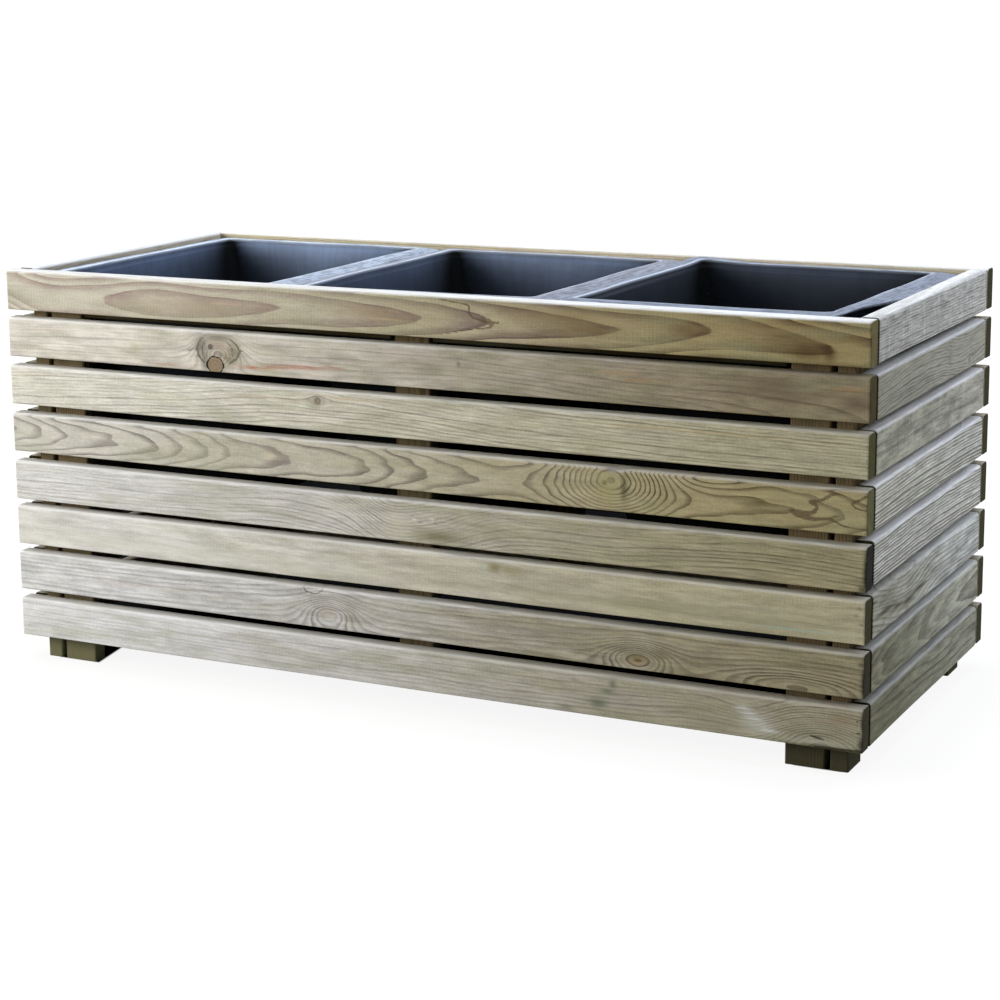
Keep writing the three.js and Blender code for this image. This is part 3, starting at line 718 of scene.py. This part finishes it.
def lineDistance(u, v, t, lines):
    # Distance to the drawn lines, each point (place, height, half width): the distance to each straight run
    # over the half width there, the least of all, growing with the depth behind the face
    ratio = np.full(u.shape, float(farAway))
    for line in lines:
        for (x, y, w), (nextX, nextY, nextW) in zip(line, line[1:]):
            goX, goY = nextX - x, nextY - y
            k = np.clip(((u - x) * goX + (v - y) * goY) / (goX**2 + goY**2), 0, 1)
            ratio = np.minimum(ratio, np.hypot(u - x - k * goX, v - y - k * goY) / (w + k * (nextW - w)))
    return np.minimum(ratio + (t / board["lineSoak"])**2, farAway)


def knotField(u, t, v, knots):
    # Distance over radius to the nearest knot, with its bark line and halo; its color and the core's strength
    field = np.tile([float(farAway), 0, 0], u.shape + (1,))
    color = np.tile(linear(board["knotColor"]), u.shape + (1,))
    for place, height, radius, longer, core, bark, halo, tint in knots:
        distance = np.sqrt(((u - place) / longer)**2 + (v - height)**2 + (0.15 * t)**2) / radius
        nearer = distance < field[..., 0]
        field[nearer] = np.stack([distance, np.full(u.shape, bark), np.full(u.shape, halo)], axis=-1)[nearer]
        color[nearer] = linear(tint, core)
    return field, color


def stainField(u, t, v, stains):
    # The strongest stain's color and amount, and 1 where it is too wide to be broken up by the fibres
    stain, isSmooth = np.zeros(u.shape + (4,)), np.zeros(u.shape)
    for place, height, length, width, color, amount in stains:
        mask = amount * bell(u, v, place, height, length, width) * np.exp(-(t / board["soak"])**2)
        stronger = mask > stain[..., 3]
        stain[stronger] = linear(color)
        stain[..., 3][stronger] = mask[stronger]
        isSmooth[stronger] = width > board["smoothFrom"]
    return stain, isSmooth


def makeBoard(name, figure, outward, along, step):
    # A section carried along the board in rows, its ends closed by smaller and smaller sections
    low, high = (np.array(corner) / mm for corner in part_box(name))
    outward, along, up = np.array(outward, float), np.array(along, float), np.array([0.0, 0.0, 1.0])
    centre = (low + high) / 2
    length, thickness, width = (abs((high - low) @ axis) for axis in (along, outward, up))
    endEase = board["endEase"]
    section = boardSection(thickness, width)
    half = length / 2
    body = np.linspace(-half + endEase, half - endEase, int(length / step) + 1)
    shrink = np.array([0.25, 0.5, 0.75, 0.9])
    places = np.concatenate([np.full(5, -half), body, np.full(5, half)])
    scales = np.concatenate([shrink, np.ones(len(body) + 2), shrink[::-1]])
    insets = np.concatenate([np.full(5, endEase), np.zeros(len(body)), np.full(5, endEase)])
    u = np.repeat(places[:, None], len(section), axis=1)
    t = section[:, 0] - section[:, 2] * insets[:, None]
    v = section[:, 1] - section[:, 3] * insets[:, None]
    t = thickness / 2 + (t - thickness / 2) * scales[:, None]
    v = v * scales[:, None]
    count, bent = ringField(u, t, v, figure)
    knots, knotColor = knotField(u, t, v, figure["knots"])
    stain, smoothStain = stainField(u, t, bent, figure["stains"])

    # The planed face strays from flat by waves, and dents go deeper
    push = board["warp"] * (1 - t / thickness) * waves(u, v, figure["seed"] + 3, *board["warpSize"], 4)
    push = np.maximum(push, 0) * (np.abs(u) < half - 1)
    for *shape, deep in figure["dents"]:
        push += deep * bell(u, v, *shape) * np.exp(-(t / board["soak"])**2)
    t = t - section[:, 2] * push
    v = v - section[:, 3] * push
    lines = lineDistance(u, v, t, figure["lines"])
    grain = np.stack([u, t, bent], axis=-1)
    isCut = np.repeat((insets > 0)[:, None], len(section), axis=1)
    clearer = sum((rise * bell(u, v, *shape) for *shape, rise in figure["whorls"]), np.zeros(u.shape))
    cuts = np.stack([isCut, smoothStain, clearer], axis=-1)
    points = centre + u[..., None] * along + (thickness / 2 - t)[..., None] * outward + v[..., None] * up
    ends = [(centre + place * along) * mm for place in (-half, half)]
    middle = [(np.array([place]), np.array([thickness / 2]), np.array([0.0])) for place in (-half, half)]
    endCounts = [ringField(*place, figure)[0][0] for place in middle]

    def withEnds(values, first, last):
        return np.concatenate([values.reshape((-1,) + values.shape[2:]), [first, last]])

    plain, noKnot = linear(board["knotColor"]), (farAway, 0, 0)
    attributes = {
        "rings": withEnds(count, *endCounts),
        "grain": withEnds(grain, (-half, thickness / 2, 0), (half, thickness / 2, 0)) * mm,
        "knots": withEnds(knots, noKnot, noKnot),
        "knotColor": withEnds(knotColor, plain, plain),
        "stain": withEnds(stain, np.zeros(4), np.zeros(4)),
        "cuts": withEnds(cuts, (1, 0, 0), (1, 0, 0)),
        "lines": withEnds(lines, farAway, farAway),
    }
    rowSmooth = (insets[:-1] == 0) & (insets[1:] == 0)
    piece = surface(name + "_board", points * mm, *ends, attributes, rowSmooth)
    piece.data.materials.append(planedPine(name + "_pine", figure))
    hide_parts(name)
    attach(piece, "frame")


def boardRow(side, outward, along, figures, step, firstSeed, look):
    half = 500 if side in ("front", "rear") else 193
    for i in range(1, 9):
        figure = figures[i] if figures else plainFigure(firstSeed + i, half)
        figure = {**defaultLook, **look, **figure, "seed": firstSeed + i, "half": half}
        if not figures:
            # Painted highlight on the top faces: strong on the top board, weak on the others
            figure["bleach"] = (0.9, 0.9) if i == 1 else (0.2, 0.2)
        makeBoard(f"{side}_slat_{i}", figure, outward, along, step)
    print(f"{side} boards built")


rearLook = {"early": ("#BFB49C", "#B8AC90")}
leftLook = {"early": ("#AFA592", "#9C9484"), "late": ("#7D7563", "#6D6657")}
boardRow("front", (0, -1, 0), (1, 0, 0), frontFigures, board["alongStep"], 10, frontLook)
boardRow("right", (1, 0, 0), (0, 1, 0), endFigures, board["alongStep"], 30, endLook)
boardRow("rear", (0, 1, 0), (-1, 0, 0), None, board["hiddenStep"], 50, rearLook)
boardRow("left", (-1, 0, 0), (0, -1, 0), None, board["hiddenStep"], 70, leftLook)


# Liners

tub = {
    "rimWidth": 22.5, "rimArch": 3.0, "rimRounding": 1.2, "lipDrop": 6.2, "wall": 2.0,
    "mouthRounding": 2.0, "collar": 7.0, "step": 0.7, "draft": 8.0, "floorRounding": 12.0,
    "rimCorner": 15.0, "mouthCorner": 9.0, "footCorner": 42.0,
    "highest": 449.8, # the rim stays under the frame's top
    "waviness": 0.3, "waveSize": 160, # of the rim
    "hump": (-132, 192, 36, 24), # the hump's place, length and width
    "dustAndSkylightDepth": 90, # how far down the dust and the painted skylight reach
    "cornerReach": (8, 3), # how far the painted shade of the corners spreads, at the mouth and for each mm down
}

# Each liner's looseness in millimetres: how far its corners ride up, a hump of the rim near its rear left
# corner, and how far the right rim's outer edge spreads (place along the edge, outward, up)
flatEdge = [(-200, 0, 0), (200, 0, 0)]
linerFit = {
    "liner_left": {"corners": (0, 0, 0, 0), "hump": 0, "spread": flatEdge},
    "liner_middle": {"corners": (0, 2.2, 0, 0), "hump": 0, "spread": flatEdge},
    "liner_right": {"corners": (3.8, 4.4, 1.5, 0.5), "hump": 3.6,
                    "spread": [(-200, -9, 4.5), (-161, -8, 4.5), (-110, -3, 4), (-60, 6, 3), (-39, 9, 2.5),
                               (60, 10, 0), (200, 4, 0)]},
}
linerFinish = {
    # name: (seed, dust and painted skylight on the walls, color of the rubbed rim with a painted sky
    # reflection, strength of the painted highlight round the mouth)
    "liner_left": (3.0, 0.95, "#A4B0BF", 0.95),
    "liner_middle": (8.0, 0.66, "#8A8F9B", 0.8),
    "liner_right": (14.0, 0.19, "#7C8595", 0.75),
}


def tubProfile(depth):
    # From the edge of the floor outwards: floor rounding, tapered wall, collar, mouth rounding, arched rim,
    # lip, and back underneath to the floor. Each row: (outset from the mouth, height over the rim's top, corner
    # radius, share of rim). Roundings are quarter circles, the wall a straight line, the arch a parabola.
    rim, arch, lip, drop, w = (tub[key] for key in ("rimWidth", "rimArch", "rimRounding", "lipDrop", "wall"))
    mouth, collar, step, turn = (tub[key] for key in ("mouthRounding", "collar", "step", "floorRounding"))
    rimCorner, corner, foot = (tub[key + "Corner"] for key in ("rim", "mouth", "foot"))
    floor = w - depth
    collarFoot = -mouth - collar
    wallTop, wallFoot = collarFoot - step, floor + turn
    taper = step + np.tan(np.radians(tub["draft"])) * (wallTop - wallFoot)
    quarter = np.linspace(0, np.pi / 2, 7)

    def floorTurn(thick):
        return [(-taper - turn + (turn + thick) * np.sin(a), floor + turn - (turn + thick) * np.cos(a),
                 foot - turn + (turn + thick) * np.sin(a), 0) for a in quarter]

    wall = [(-taper + (taper - step) * k, wallFoot + (wallTop - wallFoot) * k, foot + (corner - foot) * k, 0)
            for k in np.linspace(0, 1, 19)[1:]]
    rows = floorTurn(0) + wall
    rows += [(-0.6, wallTop + 0.4, corner, 0), (0, collarFoot, corner, 0), (0, -mouth - 2, corner, 0)]
    rows += [(mouth * (1 - np.cos(a)), mouth * (np.sin(a) - 1), corner, 0.2 + 0.8 * np.sin(a)) for a in quarter]
    span = rim - lip - mouth
    rows += [(mouth + span * k, -arch * k**2, corner + (rimCorner - corner) * k, 1)
             for k in np.linspace(0, 1, 9)[1:]]
    rows += [(rim - lip + lip * np.sin(a), -arch - lip + lip * np.cos(a), rimCorner, 1) for a in quarter[1:]]
    rows += [(rim, -drop, rimCorner, 0.8), (rim - w, -drop, rimCorner - w, 0)]
    rows += [(rim - w, -arch - w, rimCorner - w, 0), (rim / 2, -w - arch / 4, corner, 0)]
    rows += [(w + 2.5, -w, corner + w, 0), (w, -mouth - w, corner + w, 0), (w, collarFoot, corner + w, 0)]
    rows += [(out + w, height, radius + w, 0) for out, height, radius, _ in wall[::-1]]
    return np.array(rows + floorTurn(w)[::-1])


def roundedLoop(halfX, halfY, radius):
    # Points round a rectangle with rounded corners: straight runs between quarter circles, with the
    # same count on every row, for arrays of half sizes and radii
    signs = [(1, 1), (-1, 1), (-1, -1), (1, -1)]
    arcs, sides = 10, 14
    columns = []

    def addPoint(sideX, sideY, turn):
        columns.append((sideX * (halfX - radius) + radius * np.cos(turn),
                        sideY * (halfY - radius) + radius * np.sin(turn)))

    for k, (sideX, sideY) in enumerate(signs):
        turns = np.pi / 2 * (k + np.linspace(0, 1, arcs + 1))
        for turn in turns:
            addPoint(sideX, sideY, turn)
        nextX, nextY = signs[(k + 1) % 4]
        for s in np.linspace(0, 1, sides + 1)[1:-1]:
            addPoint(sideX + (nextX - sideX) * s, sideY + (nextY - sideY) * s, turns[-1])
    return np.array(columns).transpose(1, 2, 0)


def makeLiner(name):
    # The profile's rows carried round the rounded rectangle, then lifted, humped and spread as it lies.
    # Lift: corner values blended across. Hump: a bell curve. Spread: through its stations, on the right rim.
    low, high = (np.array(corner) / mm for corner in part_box(name))
    centre, size = (low + high) / 2, high - low
    outset, z, radius, rim = tubProfile(size[2]).T
    halfX = size[0] / 2 - tub["rimWidth"] + outset
    halfY = size[1] / 2 - tub["rimWidth"] + outset
    x, y = roundedLoop(halfX, halfY, radius)
    z, rim, outset, halfX, halfY, radius = (np.repeat(values[:, None], x.shape[1], axis=1)
                                            for values in (z, rim, outset, halfX, halfY, radius))

    # Dust on the walls and painted skylight fade with depth, into painted shade in the corners and towards the
    # left;
    # the mouth's rubbed edge gets a painted highlight
    depth = -z
    straightX, straightY = halfX - radius, halfY - radius
    beyond = np.maximum(straightX - np.abs(x), 0) + np.maximum(straightY - np.abs(y), 0)
    reach, growth = tub["cornerReach"]
    corner = np.exp(-beyond / (reach + growth * np.maximum(depth, 0)))
    leftWall = np.clip((-x - straightX) / radius, 0, 1)
    dustAndSkylight = (1 - rim) * (1 - corner) * np.exp(-np.maximum(depth, 0) / tub["dustAndSkylightDepth"]) * (1 - 0.45 * leftWall)
    rear = np.clip((y - straightY) / radius, 0, 1)
    edge = np.clip(1 - np.abs(outset - 1.0) / 1.5, 0, 1) * (rim > 0.1) * (1 - 0.6 * rear)

    fit, finish = linerFit[name], linerFinish[name]
    acrossX, acrossY = x / size[0] + 0.5, y / size[1] + 0.5
    frontLeft, frontRight, rearLeft, rearRight = fit["corners"]
    z = z + ((frontLeft * (1 - acrossX) + frontRight * acrossX) * (1 - acrossY)
             + (rearLeft * (1 - acrossX) + rearRight * acrossX) * acrossY)
    wavy = waves(x, y, int(finish[0]), tub["waveSize"], tub["waveSize"], 5)
    z = z + (tub["waviness"] * wavy + fit["hump"] * bell(x, y, *tub["hump"])) * (outset > -1)
    onRight = np.clip((x - straightX) / radius, 0, 1) * np.clip(outset / tub["rimWidth"], 0, 1)
    places, outward, upward = np.array(fit["spread"], float).T
    x = x + onRight * np.interp(y, places, outward)
    z = z + onRight * np.interp(y, places, upward)
    points = np.stack([x + centre[0], y + centre[1], np.minimum(z + high[2], tub["highest"])], axis=-1)

    # The skin's own coordinates: round the wall, down the profile, and the depth
    down = np.linalg.norm(np.diff(points, axis=0, prepend=points[:1]), axis=-1).cumsum(axis=0)
    turn = np.linalg.norm(np.diff(points[30], axis=0, prepend=points[30][:1]), axis=-1).cumsum()
    skin = np.stack([np.repeat(turn[None], len(points), axis=0), down, depth], axis=-1)
    ends = [np.array([centre[0], centre[1], points[row, :, 2].mean()]) * mm for row in (0, -1)]
    attributes = {
        "skin": np.concatenate([skin.reshape(-1, 3), [[0, 0, 250], [0, 0, 250]]]) * mm,
        "wear": np.concatenate([np.stack([rim, edge, dustAndSkylight], axis=-1).reshape(-1, 3), np.zeros((2, 3))]),
    }
    piece = surface(name + "_tub", points * mm, *ends, attributes, np.ones(len(points) - 1, bool))
    piece.data.materials.append(formedPlastic(name + "_plastic", *finish))
    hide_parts(name)
    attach(piece, name)


for linerName in linerFit:
    makeLiner(linerName)
print("liners built")


# Battens, ledges and screws keep their shape

upright = ("left", "right", "middle")
uprightPine = {place: battenPine(place + "Pine", 2, 1.0, *batten[place]) for place in upright}
# The ledges' dark colors are painted shade
ledgeShadedPine = battenPine("ledgeShadedPine", 0, 2.0, *batten["ledge"])
steel = platedSteel("platedSteel")
for nodeName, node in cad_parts.items():
    if "batten" in nodeName:
        chosen = next(uprightPine[place] for place in upright if place in nodeName)
    elif "ledge" in nodeName:
        chosen = ledgeShadedPine
    elif nodeName.startswith("screw"):
        chosen = steel
    else:
        continue
    node.data.materials.clear()
    node.data.materials.append(chosen)
print("battens, ledges and screws finished")


# Camera, floor and light

cameraView = {
    "place": (1.1556, -2.3336, 0.7805),
    "yaw": -0.4697, "pitch": 0.1986, "roll": -0.0104, # radians
    "focalPixels": 2373.0,
    "centrePixel": (472.0, 440.5),
    "imageSize": 1000,
}


def addCamera():
    # Looks along (sin yaw cos pitch, cos yaw cos pitch, -sin pitch), then rolls about that line
    yaw, pitch, roll = (cameraView[angle] for angle in ("yaw", "pitch", "roll"))
    forward = Vector((np.sin(yaw) * np.cos(pitch), np.cos(yaw) * np.cos(pitch), -np.sin(pitch)))
    level = Vector((np.cos(yaw), -np.sin(yaw), 0))
    above = level.cross(forward)
    right = np.cos(roll) * level + np.sin(roll) * above
    up = -np.sin(roll) * level + np.cos(roll) * above
    data = bpy.data.cameras.new("camera")
    size = cameraView["imageSize"]
    data.sensor_width = 36.0
    data.lens = cameraView["focalPixels"] * 36.0 / size
    data.shift_x = 0.5 - cameraView["centrePixel"][0] / size
    data.shift_y = cameraView["centrePixel"][1] / size - 0.5
    data.clip_end = 50.0
    camera = bpy.data.objects.new("camera", data)
    turn = Matrix((right, up, -forward)).transposed().to_4x4()
    camera.matrix_world = Matrix.Translation(cameraView["place"]) @ turn
    link(camera)
    bpy.context.scene.camera = camera


light = {
    # name: (place, aimed at, width, height, power in watts, color)
    "keySoftbox": ((-1.75, -1.75, 1.05), (-0.45, -0.2, 0.2), 1.0, 1.0, 58.0, "#FFF8EE"),
    "endSoftbox": ((1.75, 1.15, 1.5), (0.5, 0.15, 0.4), 1.0, 1.0, 22.0, "#EDF1FF"),
    "topSoftbox": ((-0.2, 0.2, 2.3), (-0.1, 0.0, 0.4), 2.6, 2.0, 62.0, "#EEF3FF"),
}
sky = {"strength": 0.3, "color": "#E9EFF8"}


def addLight(name, place, target, width, height, power, color):
    data = bpy.data.lights.new(name, "AREA")
    data.shape = "RECTANGLE"
    data.size, data.size_y = width, height
    data.energy = power
    data.color = linear(color)[:3]
    lamp = bpy.data.objects.new(name, data)
    lamp.location = place
    lamp.rotation_euler = (Vector(target) - Vector(place)).to_track_quat("-Z", "Y").to_euler()
    link(lamp)


def addWorld():
    # Soft even light, seen as white by the camera and in reflections, and painted dark through the planter's
    # gaps: painted shade
    world = bpy.data.worlds.new("studio")
    bpy.context.scene.world = world
    world.use_nodes = True
    tree = world.node_tree
    tree.nodes.clear()
    camera, glossy, clear, passed = lightPath(tree, "Is Camera Ray", "Is Glossy Ray", "Is Transmission Ray",
                                              "Transparent Depth")
    seen = calc("MAXIMUM", calc("MAXIMUM", camera, clear), glossy)
    soft = addNode(tree, "ShaderNodeBackground", {"Color": sky["color"], "Strength": sky["strength"]})
    outside = calc("LESS_THAN", passed, 0.5)
    white = addNode(tree, "ShaderNodeBackground", {"Color": (1, 1, 1, 1), "Strength": outside})
    mixed = addNode(tree, "ShaderNodeMixShader", {0: seen, 1: soft, 2: white})
    addNode(tree, "ShaderNodeOutputWorld", {"Surface": mixed})


floorLook = {
    "pale": "#BDBDB9",
    "shade": "#101111",
    "reach": 60.0,
    # The planter's shade on the floor, in metres
    "starts": (0.19, 0.10), # how far behind the planter's front it is full, and begins
    "left": -0.47, "right": 0.42, # where its sides start
    "skew": 0.3, # how far its left side goes to the left for each metre back
    "narrowing": 0.55, # and its right side
    "softness": (0.05, 0.5), # of its sides, at the planter and for each metre back
    # strength behind the planter, from the first distance to where it has faded out
    "contact": (0.35, 0.03, 0.12),
    "tail": (0.4, 0.03, 0.45),
    # contact shade behind the front feet: skew, first and last place across, softness, front and back
    "footShades": [(0.334, 0.36, 0.405, 0.004, -0.196, -0.08), (0.19, -0.5, -0.4495, 0.004, -0.196, -0.1)],
    "inside": (0.478, 0.195, 0.032, 0.44), # half width, half depth, lowest and highest of the frame's inside
    "fadeWidth": 0.24, # round the planter, where the soft shadow shows
    "white": (0.82, 0.985), # how white the floor is at the planter and far from it
    "glow": 1.1, # brightness of that white
}


def easedProduct(edges):
    # Each edge (value, full, none) counts 1 up to full and 0 from none on
    product = 1.0
    for value, full, none in edges:
        product = ease(value, full, none, 1.0, 0.0) * product
    return product


def floorShade(x, y):
    # How dark the floor is painted: a product of eased edges behind the planter and behind each front foot
    rear = cadBounds[1][1]
    near, far = floorLook["softness"]
    full, none = (rear - start for start in floorLook["starts"])
    behind = calc("MAXIMUM", y - rear, 0.0)
    blur = behind * far + near
    backward = y * -1.0
    leftSide = (floorLook["left"] - (y * floorLook["skew"] + x)) / blur
    rightSide = (behind * floorLook["narrowing"] + x - floorLook["right"]) / blur
    depth = 0.0
    for strength, start, end in (floorLook["contact"], floorLook["tail"]):
        depth = ease(behind, start, end, strength, 0.0) + depth
    shaded = depth * easedProduct([(backward, full, none), (leftSide, -0.5, 0.5), (rightSide, -0.5, 0.5)])
    for skew, first, last, soft, front, back in floorLook["footShades"]:
        beside = y * skew + x
        edges = [(beside * -1.0, -first, soft - first), (beside, last, last + soft),
                 (backward, -front, soft - front), (y, back, back + soft)]
        shaded = calc("MAXIMUM", shaded, easedProduct(edges))
    return shaded


def addStage(name, corners, sides, material):
    mesh = bpy.data.meshes.new(name)
    mesh.from_pydata(corners, [], sides)
    mesh.materials.append(material)
    piece = bpy.data.objects.new(name, mesh)
    link(piece)
    return piece


def addFloor():
    # A pale floor, seen as white by the camera, with painted shade where it is painted dark and through the
    # planter's gaps.
    # Round the planter the white gives way a little to the floor as it is lit, which keeps its shadow.
    high, reach = cadBounds[1], floorLook["reach"]
    material, tree, shader = newMaterial("paleFloor")
    x, y, _ = parts(objectPlace(tree))
    camera, glossy, passed = lightPath(tree, "Is Camera Ray", "Is Glossy Ray", "Transparent Depth")
    shaded = calc("MAXIMUM", floorShade(x, y), calc("GREATER_THAN", passed, 0.5))
    gapX, gapY = (calc("MAXIMUM", calc("ABSOLUTE", place) - edge, 0.0) for place, edge in zip((x, y), high))
    away = calc("SQRT", gapX * gapX + gapY * gapY)
    whiteness = ease(away, 0.0, floorLook["fadeWidth"], *floorLook["white"])
    bare = calc("MAXIMUM", camera, glossy) * (1.0 - shaded) * whiteness
    connect(shader, {"Base Color": blendColor(shaded, floorLook["pale"], floorLook["shade"]),
                     "Roughness": 0.9, "Specular IOR Level": 0.0})
    white = addNode(tree, "ShaderNodeEmission", {"Color": (1, 1, 1, 1), "Strength": floorLook["glow"]})
    mixed = addNode(tree, "ShaderNodeMixShader", {0: bare, 1: Signal(shader.outputs[0]), 2: white})
    connect(tree.nodes["Material Output"], {"Surface": mixed})
    corners = [(sideX * reach, sideY * reach, 0) for sideX, sideY in ((-1, -1), (1, -1), (1, 1), (-1, 1))]
    addStage("floor", corners, [(0, 1, 2, 3)], material)


def addGapShade():
    # Painted shade in the planter's gaps: a clear box in the frame, met by camera rays alone, marks what is
    # seen through the planter, and the floor and the world are painted dark there
    x, y, low, high = floorLook["inside"]
    corners = [(sx * x, sy * y, z) for z in (low, high) for sx, sy in ((-1, -1), (1, -1), (1, 1), (-1, 1))]
    sides = [(0, 1, 5, 4), (1, 2, 6, 5), (2, 3, 7, 6), (3, 0, 4, 7), (3, 2, 1, 0), (4, 5, 6, 7)]
    material, tree, _ = newMaterial("clear")
    connect(tree.nodes["Material Output"], {"Surface": addNode(tree, "ShaderNodeBsdfTransparent", {})})
    box = addStage("gapShade", corners, sides, material)
    box.visible_diffuse = box.visible_glossy = box.visible_transmission = box.visible_shadow = False


addCamera()
for lampName, values in light.items():
    addLight(lampName, *values)
addWorld()
addFloor()
addGapShade()
bpy.context.scene.view_settings.view_transform = "Standard"
print("camera, light and floor set")
